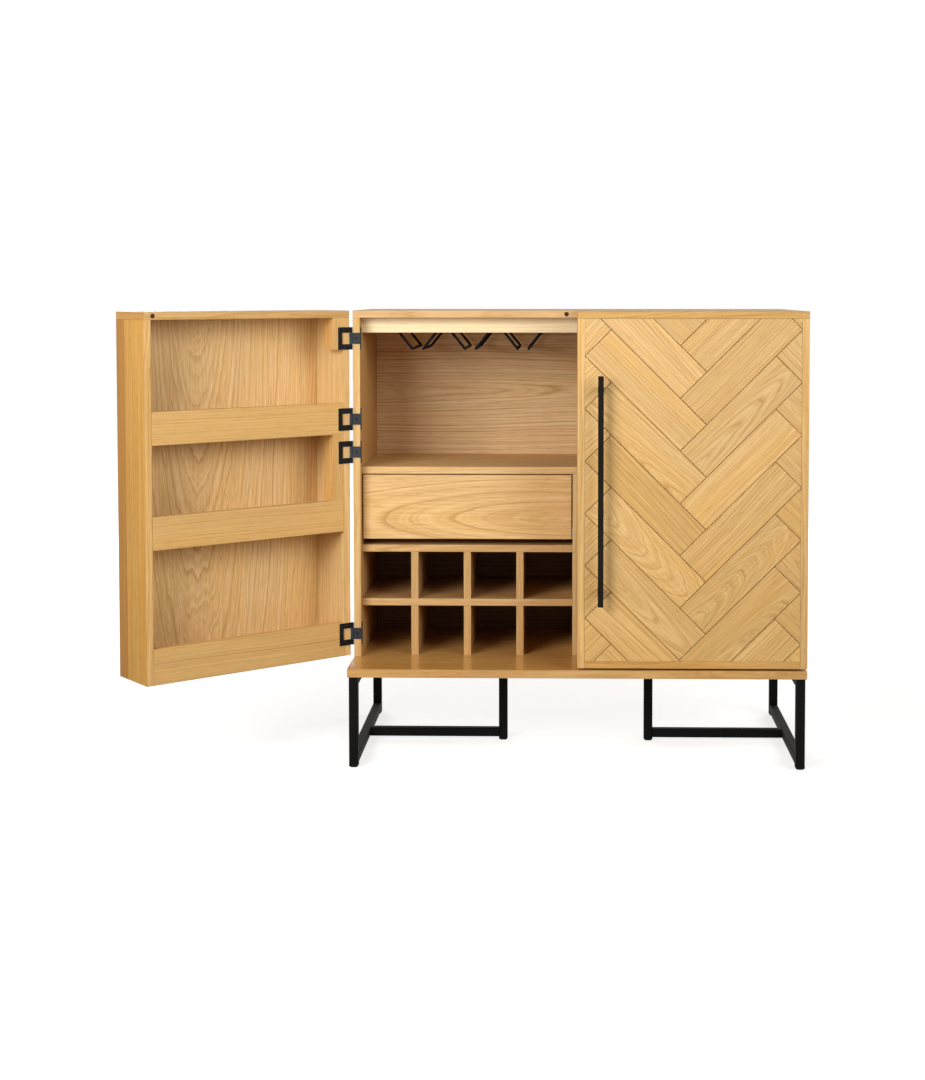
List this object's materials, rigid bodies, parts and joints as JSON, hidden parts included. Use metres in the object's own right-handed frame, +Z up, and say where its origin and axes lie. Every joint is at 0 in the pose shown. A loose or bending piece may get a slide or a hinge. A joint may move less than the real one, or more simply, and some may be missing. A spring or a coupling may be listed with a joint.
{
  "type": "storage cabinet",
  "caption": "Oak drinks cabinet on black steel leg frames, with deep herringbone-fronted box doors, a bottle rack, a drawer and hanging glass racks.",
  "frame": {"origin": "on the floor under the middle of the base board", "axes": "+X to the right of someone facing the doors, +Y to the back, +Z up"},
  "size_m": [1.4796, 0.6932, 0.998],
  "materials": {
    "oak": "clear matt lacquer",
    "black_steel": "black powder coat",
    "black_plastic": "moulded",
    "zinc_steel": "zinc plated"
  },
  "bodies": {
    "cabinet": {"base_board": "oak", "left_side": "oak", "right_side": "oak", "back_panel": "oak", "top_rail": "oak", "upper_shelf": "oak", "centre_partition": "oak", "rack_top_board": "oak", "rack_middle_board": "oak", "right_bay_shelf": "oak", "bottle_dividers": "oak", "top_board": "oak", "top_magnets": "black_steel", "drawer_runners": "zinc_steel", "left_leg_frame": "black_steel", "right_leg_frame": "black_steel", "feet": "black_plastic", "glass_rack_left": "black_steel", "glass_rack_middle": "black_steel", "glass_rack_right": "black_steel", "left_side_hinge_leaves": "black_steel", "right_side_hinge_leaves": "black_steel"},
    "left_door": {"left_door_hinge_side": "oak", "left_door_free_side": "oak", "left_door_bottom": "oak", "left_door_panel": "oak", "left_door_lower_rail": "oak", "left_door_lower_shelf": "oak", "left_door_upper_rail": "oak", "left_door_upper_shelf": "oak", "left_door_bottom_rail": "oak", "left_door_hinge_blocks": "oak", "left_door_top": "oak", "left_door_magnet": "black_steel", "left_door_hinge_leaves": "black_steel", "left_door_herringbone": "oak", "left_door_handle": "black_steel"},
    "right_door": {"right_door_hinge_side": "oak", "right_door_free_side": "oak", "right_door_bottom": "oak", "right_door_panel": "oak", "right_door_lower_rail": "oak", "right_door_lower_shelf": "oak", "right_door_upper_rail": "oak", "right_door_upper_shelf": "oak", "right_door_bottom_rail": "oak", "right_door_hinge_blocks": "oak", "right_door_top": "oak", "right_door_magnet": "black_steel", "right_door_hinge_leaves": "black_steel", "right_door_herringbone": "oak", "right_door_handle": "black_steel"},
    "drawer": {"drawer_front": "oak", "drawer_left_side": "oak", "drawer_right_side": "oak", "drawer_back": "oak", "drawer_bottom": "oak"}
  },
  "joints": [
    {"name": "left_door_hinge", "type": "hinge", "parent": "cabinet", "child": "left_door", "pos_m": [-0.504, -0.121, 0.61025], "axis": [0, 0, -1], "range_deg": [-140, 35]},
    {"name": "right_door_hinge", "type": "hinge", "parent": "cabinet", "child": "right_door", "pos_m": [0.504, -0.121, 0.61025], "axis": [0, 0, 1], "range_deg": [0, 175]},
    {"name": "drawer_slide", "type": "slide", "parent": "cabinet", "child": "drawer", "axis": [0, -1, 0], "range_m": [0, 0.025]}
  ]
}
